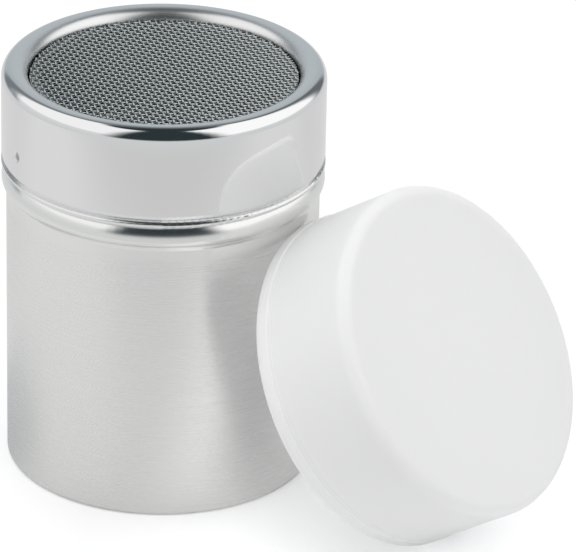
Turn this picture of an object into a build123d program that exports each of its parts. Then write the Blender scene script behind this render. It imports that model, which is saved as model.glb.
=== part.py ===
"""Fine-mesh shaker for icing sugar, cocoa and ground spice, with its cap taken off.

A deep-drawn cup carries a slip-on head. The head is a sleeve with a rolled top rim, and a
Z-section ring pressed up inside it carries a disc of woven wire. A moulded cap stands beside
the shaker, its rim on the table and against the cup's wall.

Units are millimetres and degrees. +Z is up, and the origin is the centre of the cup's base.
"""
import os
from math import acos, asin, atan2, cos, degrees, floor, radians, sin, sqrt

from build123d import *

# Cup: sheet steel, drawn in one piece
cup_radius = 35.0
cup_sheet = 0.5
base_corner_radius = 1.0
bead_height = 68.0
bead_lower_run = 2.6
bead_upper_radius = 4.8

# Head: a sleeve that slips over the cup's neck, with a rolled rim, a waist and a folded hem
shaker_height = 94.6
sleeve_sheet = 0.5
sleeve_gap = 0.55
roll_radius = 2.95
roll_wrap = 300.0
hem_height = 1.1
hem_proud = 0.1
hem_edge_radius = 0.47
hem_clearance = 0.1
hem_gap = 0.45
waist_run = 1.6
edge_radius_limit = 0.45

# Grip dimples pressed into the sleeve
dimple_drop = 15.6
dimple_azimuth = 206.8
dimple_diameter = 2.8
dimple_depth = 0.45

# Ring that carries the mesh, pressed up inside the sleeve
ring_sheet = 0.5
ring_ledge_width = 2.1
ring_wall_clearance = 0.4
ring_roll_clearance = 0.1
seat_clearance = 0.05

# Woven wire disc
wire_diameter = 0.42
warp_pitch = 1.2
weft_pitch = 1.22
mesh_turn = 16.0
mesh_drop = 2.65
mesh_edge_margin = 0.1
shortest_wire = 3.0

# Cap: moulded plastic, sized to slip over the whole head
cap_wall = 1.0
cap_clearance = 0.5
cap_overlap = 2.0
cap_corner_radius = 2.5
cap_flange_proud = 0.25
cap_flange_height = 3.0
cap_flange_slope = 0.3
cap_edge_radius = 0.3
snap_height = 1.3
snap_clearance = 0.15

# Where the cap stands
cap_azimuth = -33.44
cap_tilt = 33.3
cap_side_offset = 1.72
cap_lean_gap = 0.1

quarter_turn = 90.0

# Worked out from the sizes above
sleeve_bore_radius = cup_radius + sleeve_gap
sleeve_radius = sleeve_bore_radius + sleeve_sheet
bead_depth = sleeve_radius - cup_radius
roll_centre_radius = sleeve_radius - roll_radius
roll_centre_height = shaker_height - roll_radius
ring_flange_top = shaker_height - 2 * roll_radius - ring_roll_clearance
ring_flange_bottom = ring_flange_top - ring_sheet
neck_top = ring_flange_bottom - seat_clearance
ring_wall_radius = roll_centre_radius - roll_radius - ring_wall_clearance
ring_bore_radius = ring_wall_radius - ring_ledge_width
dimple_height = shaker_height - dimple_drop
bead_centre_radius = cup_radius + bead_depth - bead_upper_radius
bead_top = bead_height + sqrt(bead_upper_radius**2 - (cup_radius - bead_centre_radius) ** 2)
hem_bottom = bead_top + hem_gap
hem_top = hem_bottom + hem_height
hem_outer_radius = sleeve_radius + hem_proud
hem_bore_radius = cup_radius + hem_clearance
mesh_height = shaker_height - mesh_drop
mesh_radius = ring_wall_radius - mesh_edge_margin
mesh_seat_height = mesh_height - wire_diameter
cap_bore_radius = hem_outer_radius + cap_clearance
cap_radius = cap_bore_radius + cap_wall
cap_flange_radius = cap_radius + cap_flange_proud
cap_depth = shaker_height - hem_bottom + cap_overlap
cap_height = cap_depth + cap_wall


def polar_point(centre, radius, angle):
    """The point at an angle, in degrees, on a circle in a sketch."""
    return (centre[0] + radius * cos(radians(angle)), centre[1] + radius * sin(radians(angle)))


def arc(centre, radius, start, end):
    """An arc about a centre from one angle to another, both in degrees."""
    return CenterArc(centre, radius, start, end - start)


# The bead flows into the wall below it through two equal arcs, one hollow and one round
flow_angle = 2 * degrees(atan2(bead_depth, bead_lower_run))
flow_radius = bead_lower_run / (2 * sin(radians(flow_angle)))
hollow_centre = (cup_radius + flow_radius, bead_height - bead_lower_run)
round_centre = (cup_radius + bead_depth - flow_radius, bead_height)
upper_centre = (bead_centre_radius, bead_height)


def bead_end_angle(radius, wall_radius):
    """The angle at which an arc about the bead's upper centre meets a wall."""
    return degrees(acos((wall_radius - bead_centre_radius) / radius))


# ---------------------------------------------------------------- cup body
cup_bore_radius = cup_radius - cup_sheet
corner_centre = (cup_radius - base_corner_radius, base_corner_radius)
inner_corner_radius = base_corner_radius - cup_sheet
inner_upper_radius = bead_upper_radius - cup_sheet
outer_end = bead_end_angle(bead_upper_radius, cup_radius)
inner_end = bead_end_angle(inner_upper_radius, cup_bore_radius)

with BuildPart() as cup_body:
    with BuildSketch(Plane.XZ):
        with BuildLine():
            Line((0, 0), (corner_centre[0], 0))
            arc(corner_centre, base_corner_radius, -90, 0)
            Line((cup_radius, base_corner_radius), (cup_radius, hollow_centre[1]))
            arc(hollow_centre, flow_radius, 180, 180 - flow_angle)
            arc(round_centre, flow_radius, -flow_angle, 0)
            arc(upper_centre, bead_upper_radius, 0, outer_end)
            Line(polar_point(upper_centre, bead_upper_radius, outer_end), (cup_radius, neck_top))
            Line((cup_radius, neck_top), (cup_bore_radius, neck_top))
            Line((cup_bore_radius, neck_top), polar_point(upper_centre, inner_upper_radius, inner_end))
            arc(upper_centre, inner_upper_radius, inner_end, 0)
            arc(round_centre, flow_radius - cup_sheet, 0, -flow_angle)
            arc(hollow_centre, flow_radius + cup_sheet, 180 - flow_angle, 180)
            Line((cup_bore_radius, hollow_centre[1]), (cup_bore_radius, base_corner_radius))
            arc(corner_centre, inner_corner_radius, 0, -90)
            Line((corner_centre[0], cup_sheet), (0, cup_sheet))
            Line((0, cup_sheet), (0, 0))
        make_face()
    revolve(axis=Axis.Z)

# ---------------------------------------------------------------- head sleeve
roll_centre = (roll_centre_radius, roll_centre_height)
roll_bore = roll_radius - sleeve_sheet
hem_width = hem_outer_radius - hem_bore_radius
hem_centre = (hem_bore_radius + hem_width / 2, hem_bottom + hem_height / 2)
hem_corner_radius = min(hem_edge_radius, edge_radius_limit * min(hem_width, hem_height))

# Above the hem the wall comes in to the hem's bore through two equal arcs, one round and one hollow
waist_outer_radius = hem_bore_radius + sleeve_sheet
waist_angle = 2 * degrees(atan2(sleeve_bore_radius - hem_bore_radius, waist_run))
waist_arc_radius = waist_run / (2 * sin(radians(waist_angle)))
waist_round_centre = (sleeve_radius - waist_arc_radius, hem_top + waist_run)
waist_hollow_centre = (waist_outer_radius + waist_arc_radius, hem_top)

# Each dimple is a ball's dent, and the sheet keeps its thickness behind it
dent_radius = ((dimple_diameter / 2) ** 2 + dimple_depth**2) / (2 * dimple_depth)
dent_centre_radius = sleeve_radius - dimple_depth + dent_radius
dent_back_radius = dent_radius + sleeve_sheet
dent_back_reach = dent_centre_radius - (sleeve_radius - sleeve_sheet / 2)
dent_back_angle = degrees(asin(dent_back_reach / dent_back_radius))

# The roll stops short of the sleeve, and its end is cut square across the sheet
roll_end_outside = polar_point(roll_centre, roll_radius, roll_wrap)
roll_end_inside = polar_point(roll_centre, roll_bore, roll_wrap)


def dent_place(angle):
    """The centre of the ball that presses the dimple at an angle, with Z towards the sleeve's axis."""
    x, y = polar_point((0, 0), dent_centre_radius, angle)
    return Plane((x, y, dimple_height), x_dir=(0, 0, 1), z_dir=(-x, -y, 0)).location


dent_places = [dent_place(angle) for angle in (dimple_azimuth, dimple_azimuth + 180)]

with BuildPart() as head_sleeve:
    with BuildSketch(Plane.XZ):
        with BuildLine():
            Line((hem_bore_radius, hem_centre[1]), (waist_outer_radius, hem_centre[1]))
            Line((waist_outer_radius, hem_centre[1]), (waist_outer_radius, hem_top))
            arc(waist_hollow_centre, waist_arc_radius, 180, 180 - waist_angle)
            arc(waist_round_centre, waist_arc_radius, -waist_angle, 0)
            Line((sleeve_radius, waist_round_centre[1]), (sleeve_radius, roll_centre_height))
            arc(roll_centre, roll_radius, 0, roll_wrap)
            Line(roll_end_outside, roll_end_inside)
            arc(roll_centre, roll_bore, roll_wrap, 0)
            Line((sleeve_bore_radius, roll_centre_height), (sleeve_bore_radius, waist_round_centre[1]))
            arc(waist_round_centre, waist_arc_radius - sleeve_sheet, 0, -waist_angle)
            arc(waist_hollow_centre, waist_arc_radius + sleeve_sheet, 180 - waist_angle, 180)
            Line((hem_bore_radius, hem_top), (hem_bore_radius, hem_centre[1]))
        make_face()
        with Locations(hem_centre):
            RectangleRounded(hem_width, hem_height, hem_corner_radius)
    revolve(axis=Axis.Z)
    with Locations(*dent_places):
        Sphere(dent_back_radius, arc_size1=dent_back_angle, align=None)
        Sphere(dent_radius, mode=Mode.SUBTRACT)

# ---------------------------------------------------------------- mesh carrier ring
ring_wall_inner = ring_wall_radius - ring_sheet

with BuildPart() as mesh_carrier_ring:
    with BuildSketch(Plane.XZ):
        with BuildLine():
            Polyline(
                (ring_bore_radius, mesh_seat_height),
                (ring_wall_radius, mesh_seat_height),
                (ring_wall_radius, ring_flange_top),
                (sleeve_bore_radius, ring_flange_top),
                (sleeve_bore_radius, ring_flange_bottom),
                (ring_wall_inner, ring_flange_bottom),
                (ring_wall_inner, mesh_seat_height - ring_sheet),
                (ring_bore_radius, mesh_seat_height - ring_sheet),
                close=True,
            )
        make_face()
    revolve(axis=Axis.Z)


# ---------------------------------------------------------------- woven wire disc
def wire_places(pitch, height, turn):
    """Where each wire of one set lies in the disc, with its length."""
    reach = sqrt(mesh_radius**2 - (shortest_wire / 2) ** 2)
    count = floor(reach / pitch)
    places = []
    for number in range(-count, count + 1):
        offset = number * pitch
        length = 2 * sqrt(mesh_radius**2 - offset**2)
        lying = Location((0, offset, 0), (0, quarter_turn, 0))
        places.append((Plane.XY.offset(height).rotated((0, 0, turn)) * lying, length))
    return places


with BuildPart() as mesh_warp_wires:
    for place, length in wire_places(warp_pitch, mesh_height - wire_diameter / 2, mesh_turn + quarter_turn):
        with Locations(place):
            Cylinder(wire_diameter / 2, length)

with BuildPart() as mesh_weft_wires:
    for place, length in wire_places(weft_pitch, mesh_height + wire_diameter / 2, mesh_turn):
        with Locations(place):
            Cylinder(wire_diameter / 2, length)

# ---------------------------------------------------------------- cap
tilt_sin = sin(radians(cap_tilt))
tilt_cos = cos(radians(cap_tilt))
outward = Vector(cos(radians(cap_azimuth)), sin(radians(cap_azimuth)), 0)
sideways = Vector(-outward.Y, outward.X, 0)
cap_axis = outward * tilt_cos + Vector(0, 0, tilt_sin)

# The rounded edge of the flange stands on the table and comes near the cup's wall
edge_circle_radius = cap_flange_radius - cap_edge_radius
rim_height = cap_edge_radius * (1 - tilt_sin) + edge_circle_radius * tilt_cos
rim_distance = cup_radius + cap_lean_gap + cap_edge_radius * (1 - tilt_cos) + edge_circle_radius * tilt_sin
rim_centre = outward * rim_distance + sideways * cap_side_offset + Vector(0, 0, rim_height)
cap_plane = Plane(origin=rim_centre, x_dir=sideways, z_dir=sideways.cross(cap_axis))

flange_top = cap_flange_height + cap_flange_slope
snap_radius = hem_outer_radius + snap_clearance
snap_bottom = flange_top
snap_middle = snap_bottom + snap_height / 2
snap_top = snap_bottom + snap_height
cap_corner = (cap_radius - cap_corner_radius, cap_height - cap_corner_radius)
cap_inner_corner_radius = cap_corner_radius - cap_wall

with BuildPart() as cap:
    with BuildSketch(cap_plane):
        with BuildLine():
            Line((cap_bore_radius, 0), (edge_circle_radius, 0))
            arc((edge_circle_radius, cap_edge_radius), cap_edge_radius, -90, 0)
            Line((cap_flange_radius, cap_edge_radius), (cap_flange_radius, cap_flange_height))
            Line((cap_flange_radius, cap_flange_height), (cap_radius, flange_top))
            Line((cap_radius, flange_top), (cap_radius, cap_corner[1]))
            arc(cap_corner, cap_corner_radius, 0, 90)
            Line((cap_corner[0], cap_height), (0, cap_height))
            Line((0, cap_height), (0, cap_depth))
            Line((0, cap_depth), (cap_corner[0], cap_depth))
            arc(cap_corner, cap_inner_corner_radius, 90, 0)
            Line((cap_bore_radius, cap_corner[1]), (cap_bore_radius, snap_top))
            ThreePointArc(
                (cap_bore_radius, snap_top),
                (snap_radius, snap_middle),
                (cap_bore_radius, snap_bottom),
            )
            Line((cap_bore_radius, snap_bottom), (cap_bore_radius, 0))
        make_face()
    revolve(axis=Axis(rim_centre, cap_axis))

# ---------------------------------------------------------------- files
os.makedirs("parts", exist_ok=True)

cup_body.part.label = "cup_body"
export_step(cup_body.part, "parts/cup_body.step")

head_sleeve.part.label = "head_sleeve"
export_step(head_sleeve.part, "parts/head_sleeve.step")

mesh_carrier_ring.part.label = "mesh_carrier_ring"
export_step(mesh_carrier_ring.part, "parts/mesh_carrier_ring.step")

mesh_warp_wires.part.label = "mesh_warp_wires"
export_step(mesh_warp_wires.part, "parts/mesh_warp_wires.step")

mesh_weft_wires.part.label = "mesh_weft_wires"
export_step(mesh_weft_wires.part, "parts/mesh_weft_wires.step")

cap.part.label = "cap"
export_step(cap.part, "parts/cap.step")
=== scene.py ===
import math

import bpy
from mathutils import Matrix, Vector


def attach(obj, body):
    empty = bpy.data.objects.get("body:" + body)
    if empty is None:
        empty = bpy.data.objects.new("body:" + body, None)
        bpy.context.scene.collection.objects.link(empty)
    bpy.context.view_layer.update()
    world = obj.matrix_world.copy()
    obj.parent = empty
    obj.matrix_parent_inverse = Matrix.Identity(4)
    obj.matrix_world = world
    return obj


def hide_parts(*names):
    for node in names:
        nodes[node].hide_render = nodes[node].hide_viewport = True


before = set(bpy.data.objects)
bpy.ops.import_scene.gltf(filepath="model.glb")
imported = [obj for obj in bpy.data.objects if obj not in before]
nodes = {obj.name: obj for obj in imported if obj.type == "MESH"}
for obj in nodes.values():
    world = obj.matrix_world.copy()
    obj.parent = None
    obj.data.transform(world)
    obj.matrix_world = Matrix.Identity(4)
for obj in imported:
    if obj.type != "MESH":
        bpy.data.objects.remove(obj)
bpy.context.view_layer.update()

MM = 0.001

# The cap's rim circle and the way its axis points, as the part's source places them
CAP_RIM_CENTRE = (0.047505, -0.029310, 0.031562)
CAP_AXIS = (0.69745, -0.46058, 0.54902)

# A name that ends in FADE gives the value at which a thing starts to show, and the one where it is full

# The plain light, in which the world is white to the camera and a little lower to the object
WORLD_LIGHT = 0.86
LAMP_AT = (-0.25, -0.1, 1.3)
LAMP_SIZE = 0.9
LAMP_WATTS = 4.5

# The floor: its greys, darker in front of the object and behind it as painted shade, and the glow that makes
# it white to the camera
FLOOR_HALF, FLOOR_BACK, FLOOR_LEVEL = 0.62, 0.3, -0.00005
FLOOR_FRONT_SHADE_TONE, FLOOR_NEAR_TONE, FLOOR_BACK_SHADE_TONE = 0.645, 0.725, 0.665
FLOOR_NEAR_FADE = (-0.22, -0.07)
FLOOR_BACK_FADE = (0.0, 0.1)
FLOOR_GLOW = 0.32
MIRRORED_GLOW = 0.05

# Paper under the cap painted paler and given a glow in the metal, as painted light for the light that comes
# through the cap; and shaded paper behind the cup on its left
UNDER_CAP_AT = (0.056, -0.04, 0.0)
UNDER_CAP_FADE = (0.075, 0.038)
UNDER_CAP_PAINTED_LIGHT = 0.93
UNDER_CAP_PAINTED_GLOW = 0.12
SHADE_AT = (-0.05, 0.012, 0.0)
SHADE_FADE = (0.045, 0.012)
SHADE_TONE = (0.54, 0.05)
SHADE_GLOW = 0.5

# The tent, in metres, and in degrees round it from the front and up from its middle
TENT_RADIUS = 0.25
TENT_MIDDLE = 0.09
TENT_LOWEST = -24.0
TENT_RINGS, TENT_SIDES = 24, 96
BLACK_CLOTH = (0.03, 0.042, 0.047, 1.0)

# Its two bright side panels: the right one starts and ends farther back than the left one, and is
# brighter, and the left one's back edge leans
PANEL_FRONT_FADE = (26.5, 43.5)
PANEL_FRONT_LEAN = 0.12
RIGHT_PANEL_START = 2.5
PANEL_BACK_FADE = (117.0, 106.0)
LEFT_PANEL_LEAN, LEFT_PANEL_LEAN_TOP = 0.35, 28.0
RIGHT_PANEL_REACH = 7.5
PANEL_TOP_FADE = (73.0, 67.0)
PANEL_FOOT_FADE = (8.0, 15.0)
RIGHT_PANEL_FOOT = 6.0
FOOT_LEVEL, LEFT_PANEL_LEVEL, RIGHT_PANEL_LEVEL = 0.8, 1.07, 1.18

# Its grey-blue back, the dark seams beside it, and the table round it, each with a level and a blueness
BACK_FADE = (92.0, 134.0)
BACK_TOP_FADE = (87.0, 40.0)
BACK_MIDDLE_FADE = (134.0, 170.0)
BACK_SIDE_LEVEL, BACK_MIDDLE_LEVEL = (0.52, 0.12), (0.6, 0.12)
SEAM_AT = 133.0
SEAM_FADE = (13.0, 4.0)
SEAM_TOP_FADE = (80.0, 64.0)
LEFT_SEAM_LEVEL, RIGHT_SEAM_LEVEL = (0.25, 0.15), (0.18, 0.15)
TABLE_FADE = (4.0, -8.0)
TABLE_LEVEL = (0.76, 0.04)

# Heights and radii, from the part's source, at which the metal's finish changes, and inside which painted
# shade darkens it
WAIST_FOOT_FADE, WAIST_TOP_FADE = (0.0718, 0.0721), (0.0746, 0.0741)
HEAD_BORE_FOOT_FADE, HEAD_BORE_TOP_FADE = (0.0746, 0.0748), (0.0895, 0.0885)
HEAD_BORE_FADE = (0.0359, 0.0357)
ROLL_INSIDE_FADE = (0.0335, 0.0312)
NECK_POLISH_FADE = (0.0605, 0.0675)
CUP_BORE_FADE, CUP_BORE_FOOT_FADE = (0.0347, 0.0345), (0.001, 0.0012)
CUP_FLOOR_FADE, CUP_FLOOR_RISE_FADE = (0.0338, 0.0336), (0.0002, 0.0004)

# Heights above the cap's rim of its band, greyed as painted shade, and of its edge and the two fine lines in
# the band, whitened as painted light
CAP_BAND_FADE = (0.0052, 0.0042)
CAP_EDGE_FADE = (0.0007, 0.0003)
CAP_STEP_LINE, CAP_STEP_HALF = 0.0031, 0.0003
CAP_BEAD_LINE, CAP_BEAD_HALF = 0.0040, 0.0004
# The cap's colour, and its band's greyer one, which is painted shade
CAP_COLOUR = (0.98, 0.985, 1.0, 1.0)
CAP_BAND_COLOUR = (0.92, 0.935, 0.955, 1.0)


# ------------------------------------------------------------------ node helpers
class Graph:
    """Short calls for building a shader's node tree."""

    def __init__(self, tree):
        self.tree = tree
        self.tree.nodes.clear()

    def node(self, kind, inputs=None, **settings):
        n = self.tree.nodes.new(kind)
        for key, value in settings.items():
            setattr(n, key, value)
        for key, value in (inputs or {}).items():
            self.put(n.inputs[key], value)
        return n

    def put(self, socket, value):
        if isinstance(value, bpy.types.NodeSocket):
            self.tree.links.new(value, socket)
        else:
            socket.default_value = value

    def math(self, operation, a, b=0.0):
        return self.node("ShaderNodeMath", {0: a, 1: b}, operation=operation).outputs[0]

    def times(self, first, *others):
        for other in others:
            first = self.math("MULTIPLY", first, other)
        return first

    def step(self, value, low, high, out_low=0.0, out_high=1.0):
        """Rises smoothly from out_low at low to out_high at high."""
        n = self.node(
            "ShaderNodeMapRange",
            {"Value": value, "From Min": low, "From Max": high, "To Min": out_low, "To Max": out_high},
            interpolation_type="SMOOTHSTEP",
        )
        return n.outputs[0]

    def mix(self, factor, a, b):
        n = self.node("ShaderNodeMix", data_type="RGBA")
        self.put(n.inputs[0], factor)
        self.put(n.inputs[6], a)
        self.put(n.inputs[7], b)
        return n.outputs[2]

    def blend(self, factor, a, b):
        """Two numbers mixed by a factor."""
        n = self.node("ShaderNodeMix", data_type="FLOAT")
        self.put(n.inputs[0], factor)
        self.put(n.inputs[2], a)
        self.put(n.inputs[3], b)
        return n.outputs[0]

    def scaled(self, vector, scale):
        n = self.node("ShaderNodeVectorMath", {0: vector, 1: scale}, operation="MULTIPLY")
        return n.outputs[0]

    def distance(self, vector, point):
        n = self.node("ShaderNodeVectorMath", {0: vector, 1: point}, operation="DISTANCE")
        return n.outputs["Value"]

    def noise(self, vector, scale, detail=2.0, roughness=0.5):
        inputs = {"Vector": vector, "Scale": scale, "Detail": detail, "Roughness": roughness}
        return self.node("ShaderNodeTexNoise", inputs).outputs[0]

    def bump(self, height, strength, distance):
        inputs = {"Height": height, "Strength": strength, "Distance": distance}
        return self.node("ShaderNodeBump", inputs).outputs[0]

    def place(self):
        """Where a point is in the part's frame, in metres."""
        return self.node("ShaderNodeTexCoord").outputs["Object"]

    def apart(self, vector):
        return self.node("ShaderNodeSeparateXYZ", {0: vector}).outputs

    def radius_and_height(self, vector):
        """A point's distance from the shaker's axis, and its height."""
        x, y, z = self.apart(vector)
        return self.math("SQRT", self.math("ADD", self.times(x, x), self.times(y, y))), z


def grey(level, blue=0.0):
    return (level * (1 - blue), level * (1 - blue * 0.35), level, 1.0)


# ------------------------------------------------------------------ camera
FOCAL_MM = 325.0
CAMERA_AT = (0.0, -1.05173, 0.55755)
YAW, PITCH, ROLL = (math.radians(a) for a in (1.5419, 26.0761, -1.2467))


def add_camera():
    data = bpy.data.cameras.new("camera")
    data.sensor_width = 36.0
    data.lens = FOCAL_MM
    data.clip_start, data.clip_end = 0.05, 20.0
    forward = Vector((math.sin(YAW) * math.cos(PITCH), math.cos(YAW) * math.cos(PITCH), -math.sin(PITCH)))
    right = Vector((math.cos(YAW), -math.sin(YAW), 0.0))
    down = forward.cross(right)
    image_x = right * math.cos(ROLL) + down * math.sin(ROLL)
    image_y = down * math.cos(ROLL) - right * math.sin(ROLL)
    camera = bpy.data.objects.new("camera", data)
    turn = Matrix((image_x, -image_y, -forward)).transposed().to_4x4()
    camera.matrix_world = Matrix.Translation(CAMERA_AT) @ turn
    bpy.context.scene.collection.objects.link(camera)
    bpy.context.scene.camera = camera


# ------------------------------------------------------------------ studio
def shown_ray(g):
    """1 on rays that show the background: the camera's, and those that are mirrored or let through."""
    path = g.node("ShaderNodeLightPath")
    mirrored = g.math("MAXIMUM", path.outputs["Is Glossy Ray"], path.outputs["Is Transmission Ray"])
    return g.math("MAXIMUM", path.outputs["Is Camera Ray"], mirrored)


def set_world():
    """White wherever the background shows, and a plain even light on the object."""
    world = bpy.data.worlds.new("studio")
    bpy.context.scene.world = world
    world.use_nodes = True
    g = Graph(world.node_tree)
    level = g.blend(shown_ray(g), WORLD_LIGHT, 1.0)
    sky = g.node("ShaderNodeBackground", {"Color": grey(1.0), "Strength": level})
    g.node("ShaderNodeOutputWorld", {"Surface": sky.outputs[0]})


def stage_mesh(name, points, faces, material):
    mesh = bpy.data.meshes.new(name)
    mesh.from_pydata(points, [], faces)
    mesh.materials.append(material)
    piece = bpy.data.objects.new(name, mesh)
    bpy.context.scene.collection.objects.link(piece)
    return piece


def add_floor():
    """Pale paper that is white to the camera and keeps the shadows."""
    material = bpy.data.materials.new("floor_paper")
    material.use_nodes = True
    g = Graph(material.node_tree)
    place = g.place()
    along = g.apart(place)[1]
    near_object = g.step(along, *FLOOR_NEAR_FADE)
    painted_light_under_cap = g.step(g.distance(place, UNDER_CAP_AT), *UNDER_CAP_FADE)
    shade = g.step(g.distance(place, SHADE_AT), *SHADE_FADE)
    # Painted shade: the paper darker in front of the object and behind it than close to it
    tone = g.mix(g.step(along, *FLOOR_BACK_FADE), grey(FLOOR_NEAR_TONE), grey(FLOOR_BACK_SHADE_TONE))
    tone = g.mix(near_object, grey(FLOOR_FRONT_SHADE_TONE), tone)
    # Painted light: the paper paler under the cap
    tone = g.mix(painted_light_under_cap, tone, grey(UNDER_CAP_PAINTED_LIGHT))
    tone = g.mix(shade, tone, grey(*SHADE_TONE))
    paper = g.node("ShaderNodeBsdfDiffuse", {"Color": tone})
    # The mirrored glow: painted light under the cap, and none far in front of the object, as painted shade
    mirrored_glow = g.blend(painted_light_under_cap, g.blend(near_object, 0.0, MIRRORED_GLOW), UNDER_CAP_PAINTED_GLOW)
    seen_glow = g.blend(shade, FLOOR_GLOW, SHADE_GLOW)
    camera_ray = g.node("ShaderNodeLightPath").outputs["Is Camera Ray"]
    strength = g.times(shown_ray(g), g.blend(camera_ray, mirrored_glow, seen_glow))
    glow = g.node("ShaderNodeEmission", {"Color": grey(1.0), "Strength": strength})
    total = g.node("ShaderNodeAddShader", {0: paper.outputs[0], 1: glow.outputs[0]})
    g.node("ShaderNodeOutputMaterial", {"Surface": total.outputs[0]})
    corners = [(-FLOOR_HALF, -FLOOR_HALF), (FLOOR_HALF, -FLOOR_HALF)]
    corners += [(FLOOR_HALF, FLOOR_BACK), (-FLOOR_HALF, FLOOR_BACK)]
    stage_mesh("floor", [(x, y, FLOOR_LEVEL) for x, y in corners], [(0, 1, 2, 3)], material)


def tent_material():
    """Bright cloth at both sides, grey-blue cloth at the back, and black cloth in front and overhead."""
    material = bpy.data.materials.new("tent_cloth")
    material.use_nodes = True
    g = Graph(material.node_tree)
    direction = g.node("ShaderNodeVectorMath", {0: g.place()}, operation="NORMALIZE").outputs[0]
    x, y, z = g.apart(direction)
    side = g.times(g.math("ABSOLUTE", g.math("ARCTAN2", x, g.times(y, -1.0))), 180 / math.pi)
    rise = g.times(g.math("ARCSINE", z), 180 / math.pi)
    right = g.step(x, -0.05, 0.05)

    front_line = g.math("ADD", side, g.times(rise, PANEL_FRONT_LEAN))
    front_line = g.math("SUBTRACT", front_line, g.times(right, RIGHT_PANEL_START))
    left_lean = g.times(g.math("MINIMUM", rise, LEFT_PANEL_LEAN_TOP), LEFT_PANEL_LEAN)
    back_line = g.math("SUBTRACT", side, g.blend(right, left_lean, RIGHT_PANEL_REACH))
    panel = g.times(
        g.step(front_line, *PANEL_FRONT_FADE),
        g.step(back_line, *PANEL_BACK_FADE),
        g.step(rise, *PANEL_TOP_FADE),
    )
    above_foot = g.step(g.math("ADD", rise, g.times(right, RIGHT_PANEL_FOOT)), *PANEL_FOOT_FADE)
    panel_level = g.mix(right, grey(LEFT_PANEL_LEVEL), grey(RIGHT_PANEL_LEVEL))
    panel_level = g.mix(above_foot, grey(FOOT_LEVEL), panel_level)

    back = g.times(g.step(side, *BACK_FADE), g.step(rise, *BACK_TOP_FADE))
    back_level = g.mix(g.step(side, *BACK_MIDDLE_FADE), grey(*BACK_SIDE_LEVEL), grey(*BACK_MIDDLE_LEVEL))
    off_seam = g.math("ABSOLUTE", g.math("SUBTRACT", side, SEAM_AT))
    seam = g.times(g.step(off_seam, *SEAM_FADE), g.step(rise, *SEAM_TOP_FADE))
    seam_level = g.mix(right, grey(*LEFT_SEAM_LEVEL), grey(*RIGHT_SEAM_LEVEL))

    colour = g.mix(back, BLACK_CLOTH, back_level)
    colour = g.mix(seam, colour, seam_level)
    colour = g.mix(panel, colour, panel_level)
    colour = g.mix(g.step(rise, *TABLE_FADE), colour, grey(*TABLE_LEVEL))
    cloth = g.node("ShaderNodeEmission", {"Color": colour})
    g.node("ShaderNodeOutputMaterial", {"Surface": cloth.outputs[0]})
    material.cycles.emission_sampling = "NONE"
    return material


def add_tent():
    """A light tent, part of a ball about the shaker, that only shows as a reflection."""
    points, faces = [], []
    for i in range(TENT_RINGS + 1):
        rise = math.radians(TENT_LOWEST + (90 - TENT_LOWEST) * i / TENT_RINGS)
        for k in range(TENT_SIDES):
            turn = 2 * math.pi * k / TENT_SIDES
            flat = TENT_RADIUS * math.cos(rise)
            points.append((flat * math.cos(turn), flat * math.sin(turn), TENT_RADIUS * math.sin(rise)))
    for i in range(TENT_RINGS):
        for k in range(TENT_SIDES):
            a, b = i * TENT_SIDES + k, i * TENT_SIDES + (k + 1) % TENT_SIDES
            faces.append((a, b, b + TENT_SIDES, a + TENT_SIDES))
    tent = stage_mesh("tent", points, faces, tent_material())
    tent.location.z = TENT_MIDDLE
    tent.visible_camera = False
    tent.visible_diffuse = False
    tent.visible_transmission = False
    tent.visible_shadow = False


def add_lamp(name, at, towards, size, watts):
    """A soft box that lights diffuse surfaces and isn't itself mirrored in the metal."""
    data = bpy.data.lights.new(name, "AREA")
    data.shape = "DISK"
    data.size = size
    data.energy = watts
    lamp = bpy.data.objects.new(name, data)
    lamp.location = at
    lamp.rotation_euler = (Vector(towards) - Vector(at)).to_track_quat("-Z", "Y").to_euler()
    lamp.visible_glossy = False
    lamp.visible_camera = False
    bpy.context.scene.collection.objects.link(lamp)


# ------------------------------------------------------------------ materials
def new_material(name, colour, roughness, metallic=0.0, **inputs):
    """A material with its Principled shader, and the graph to add to it."""
    material = bpy.data.materials.new(name)
    material.use_nodes = True
    g = Graph(material.node_tree)
    shader = g.node("ShaderNodeBsdfPrincipled", {"Roughness": roughness, "Metallic": metallic})
    shader.inputs["Base Color"].default_value = colour
    for key, value in inputs.items():
        shader.inputs[key.replace("_", " ")].default_value = value
    g.node("ShaderNodeOutputMaterial", {"Surface": shader.outputs[0]})
    return material, g, shader


def head_material():
    """Mirror-polished steel, duller inside the roll and in the waist, and painted darker inside the bore as
    painted shade.
    """
    material, g, shader = new_material("polished_steel", grey(0.8), 0.05, 1.0)
    place = g.place()
    radius, z = g.radius_and_height(place)
    smears = g.noise(g.scaled(place, (140.0, 140.0, 60.0)), 1.0, 3.0)
    polished = g.step(smears, 0.3, 0.75, 0.05, 0.08)
    waist = g.times(g.step(z, *WAIST_FOOT_FADE), g.step(z, *WAIST_TOP_FADE))
    roughness = g.blend(waist, polished, 0.22)
    g.put(shader.inputs["Roughness"], g.blend(g.step(radius, *ROLL_INSIDE_FADE), roughness, 0.3))
    # Painted shade: the steel darker inside the head's bore
    bore = g.times(
        g.step(z, *HEAD_BORE_FOOT_FADE), g.step(z, *HEAD_BORE_TOP_FADE), g.step(radius, *HEAD_BORE_FADE)
    )
    g.put(shader.inputs["Base Color"], g.mix(bore, grey(0.8), grey(0.4)))
    waves = g.noise(g.scaled(place, (60.0, 60.0, 12.0)), 1.0, 1.0)
    g.put(shader.inputs["Normal"], g.bump(waves, 0.15, 0.0002))
    return material


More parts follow.
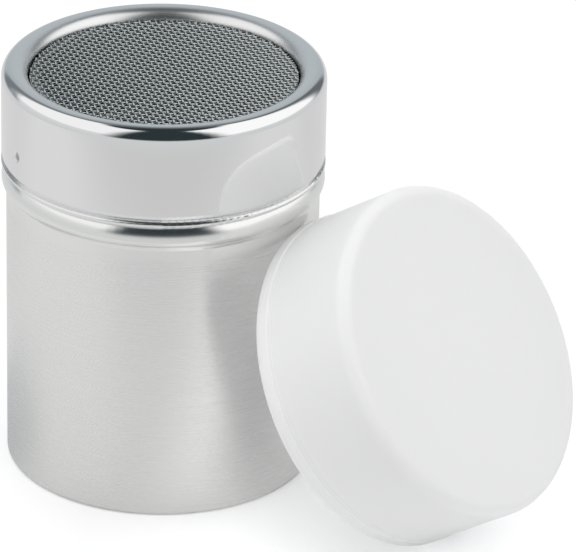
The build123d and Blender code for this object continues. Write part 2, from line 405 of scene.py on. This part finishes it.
def cup_material():
    """Steel brushed round the cup, polished at the bead and neck, and painted darker inside as painted shade.
    """
    material, g, shader = new_material(
        "brushed_steel", grey(0.78), 0.35, 1.0, Anisotropic=0.85, Anisotropic_Rotation=0.25
    )
    place = g.place()
    radius, z = g.radius_and_height(place)
    polish = g.step(z, *NECK_POLISH_FADE)
    lines = g.noise(g.scaled(place, (30.0, 30.0, 9000.0)), 1.0, 3.0, 0.6)
    brushed = g.step(lines, 0.25, 0.8, 0.24, 0.34)
    g.put(shader.inputs["Roughness"], g.blend(polish, brushed, 0.17))
    tint = g.mix(lines, (0.8, 0.8, 0.79, 1.0), (0.85, 0.85, 0.835, 1.0))
    # Painted shade: the steel darker on the cup's inner wall and floor
    inner_wall = g.times(g.step(radius, *CUP_BORE_FADE), g.step(z, *CUP_BORE_FOOT_FADE))
    inner_floor = g.times(g.step(radius, *CUP_FLOOR_FADE), g.step(z, *CUP_FLOOR_RISE_FADE))
    inside = g.math("MAXIMUM", inner_wall, inner_floor)
    g.put(shader.inputs["Base Color"], g.mix(inside, tint, grey(0.35)))
    g.put(shader.inputs["Tangent"], g.node("ShaderNodeTangent", direction_type="RADIAL", axis="Z").outputs[0])
    g.put(shader.inputs["Normal"], g.bump(lines, g.blend(polish, 0.05, 0.0), 0.00003))
    return material


def ring_material():
    """Plain pressed steel, seen only through the disc."""
    material, g, shader = new_material("pressed_steel", grey(0.35), 0.4, 1.0)
    mottle = g.noise(g.place(), 600.0, 3.0)
    g.put(shader.inputs["Roughness"], g.step(mottle, 0.3, 0.7, 0.32, 0.5))
    return material


def wire_material():
    """Drawn wire, its tone and gloss uneven along its length."""
    material, g, shader = new_material("wire_steel", (0.6, 0.63, 0.63, 1.0), 0.08, 1.0)
    mottle = g.noise(g.place(), 900.0, 2.0)
    g.put(shader.inputs["Base Color"], g.mix(mottle, (0.54, 0.57, 0.57, 1.0), (0.66, 0.69, 0.69, 1.0)))
    g.put(shader.inputs["Roughness"], g.step(mottle, 0.3, 0.7, 0.05, 0.1))
    return material


def cap_material():
    """Milky plastic that light comes through, with the thin band round the rim painted greyer as painted
    shade, and its edge and two fine lines in the band painted white as painted light.
    """
    material, g, shader = new_material(
        "milky_plastic",
        CAP_COLOUR,
        0.45,
        Subsurface_Weight=1.0,
        Subsurface_Scale=0.0028,
        IOR=1.45,
    )
    shader.inputs["Subsurface Radius"].default_value = (1.0, 1.0, 1.0)
    place = g.place()
    from_rim = g.node("ShaderNodeVectorMath", {0: place, 1: CAP_RIM_CENTRE}, operation="SUBTRACT").outputs[0]
    along = g.node("ShaderNodeVectorMath", {0: from_rim, 1: CAP_AXIS}, operation="DOT_PRODUCT")
    along = along.outputs["Value"]
    mottle = g.noise(place, 260.0, 4.0)
    g.put(shader.inputs["Roughness"], g.step(mottle, 0.3, 0.7, 0.42, 0.52))
    # Painted light: two fine white lines in the band, where the step and the bead show through the wall
    step_line = line_at(g, along, CAP_STEP_LINE, CAP_STEP_HALF)
    bead_line = line_at(g, along, CAP_BEAD_LINE, CAP_BEAD_HALF)
    lines = g.times(g.math("MAXIMUM", step_line, bead_line), 0.6)
    # Painted highlight on the rim's edge, joined with the painted light of the lines
    bright = g.math("MAXIMUM", g.step(along, *CAP_EDGE_FADE), lines)
    # Painted shade: the band round the rim greyer
    colour = g.mix(g.step(along, *CAP_BAND_FADE), CAP_COLOUR, CAP_BAND_COLOUR)
    g.put(shader.inputs["Base Color"], g.mix(bright, colour, grey(1.0)))
    grain = g.noise(place, 4000.0, 2.0)
    g.put(shader.inputs["Normal"], g.bump(grain, 0.05, 0.00002))
    return material


def line_at(g, value, middle, half_width):
    """1 where the value is at the middle, falling smoothly to 0 at half_width to either side."""
    off = g.math("ABSOLUTE", g.math("SUBTRACT", value, middle))
    return g.step(off, half_width, 0.0)


def dress(node, material):
    mesh = nodes[node].data
    mesh.materials.clear()
    mesh.materials.append(material)


# ------------------------------------------------------------------ woven wire
WIRE = 0.42 * MM
WARP_PITCH, WEFT_PITCH = 1.2 * MM, 1.22 * MM
MESH_TURN = math.radians(16.0)
MESH_LEVEL = 91.95 * MM
MESH_RADIUS = 29.65 * MM
SHORTEST = 3.0 * MM
WIRE_SIDES = 8
STEPS_PER_CROSSING = 5
WARP_CRIMP, WEFT_CRIMP = 0.33 * MM, 0.09 * MM
SAG = 0.6 * MM
SAG_FROM = 6.0 * MM
SAG_TOWARDS = (-0.86, -0.51)


def sag_at(point):
    """How far the pressed disc has sunk at a point, towards its near left edge."""
    reach = point.x * SAG_TOWARDS[0] + point.y * SAG_TOWARDS[1] - SAG_FROM
    return SAG * (max(0.0, reach) / (MESH_RADIUS - SAG_FROM)) ** 2


def woven_set(name, pitch, other_pitch, turn, phase, crimp, material):
    """One set of wires, each passing over and under the wires of the other set."""
    points, faces = [], []
    reach = math.sqrt(MESH_RADIUS**2 - (SHORTEST / 2) ** 2)
    count = int(reach / pitch)
    ring = [2 * math.pi * (k + 0.5) / WIRE_SIDES for k in range(WIRE_SIDES)]
    along = Vector((math.cos(turn), math.sin(turn), 0))
    across = Vector((-math.sin(turn), math.cos(turn), 0))
    for number in range(-count, count + 1):
        offset = number * pitch
        half = math.sqrt(MESH_RADIUS**2 - offset**2)
        steps = max(2, round(2 * half / other_pitch * STEPS_PER_CROSSING))
        flip = -1 if (number + phase) % 2 else 1
        first = len(points)
        for i in range(steps + 1):
            s = -half + 2 * half * i / steps
            wave = math.pi * s / other_pitch
            lift = flip * crimp * math.cos(wave)
            slope = -flip * crimp * math.sin(wave) * math.pi / other_pitch
            tilt = math.hypot(1.0, slope)
            up = Vector((-slope / tilt * along.x, -slope / tilt * along.y, 1 / tilt))
            centre = along * s + across * offset
            centre.z = MESH_LEVEL + lift - sag_at(centre)
            for angle in ring:
                points.append(centre + (across * math.cos(angle) + up * math.sin(angle)) * (WIRE / 2))
        for i in range(steps):
            for k in range(WIRE_SIDES):
                a = first + i * WIRE_SIDES + k
                b = first + i * WIRE_SIDES + (k + 1) % WIRE_SIDES
                faces.append((a, b, b + WIRE_SIDES, a + WIRE_SIDES))
        last = first + steps * WIRE_SIDES
        faces.append(tuple(first + k for k in reversed(range(WIRE_SIDES))))
        faces.append(tuple(last + k for k in range(WIRE_SIDES)))
    mesh = bpy.data.meshes.new(name)
    mesh.from_pydata([tuple(p) for p in points], [], faces)
    mesh.polygons.foreach_set("use_smooth", [len(p.vertices) == 4 for p in mesh.polygons])
    mesh.materials.append(material)
    piece = bpy.data.objects.new(name, mesh)
    bpy.context.scene.collection.objects.link(piece)
    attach(piece, "head")
    return piece


# ------------------------------------------------------------------ the scene
add_camera()
set_world()
add_floor()
add_tent()
add_lamp("top_light", LAMP_AT, (0, 0, 0.04), LAMP_SIZE, LAMP_WATTS)

wire = wire_material()
warp = woven_set("woven_warp", WARP_PITCH, WEFT_PITCH, MESH_TURN + math.pi / 2, 0, WARP_CRIMP, wire)
weft = woven_set("woven_weft", WEFT_PITCH, WARP_PITCH, MESH_TURN, 1, WEFT_CRIMP, wire)
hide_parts("mesh_warp_wires")
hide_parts("mesh_weft_wires")

dress("cup_body", cup_material())
dress("head_sleeve", head_material())
dress("mesh_carrier_ring", ring_material())
dress("cap", cap_material())

bpy.context.scene.view_settings.view_transform = "Standard"
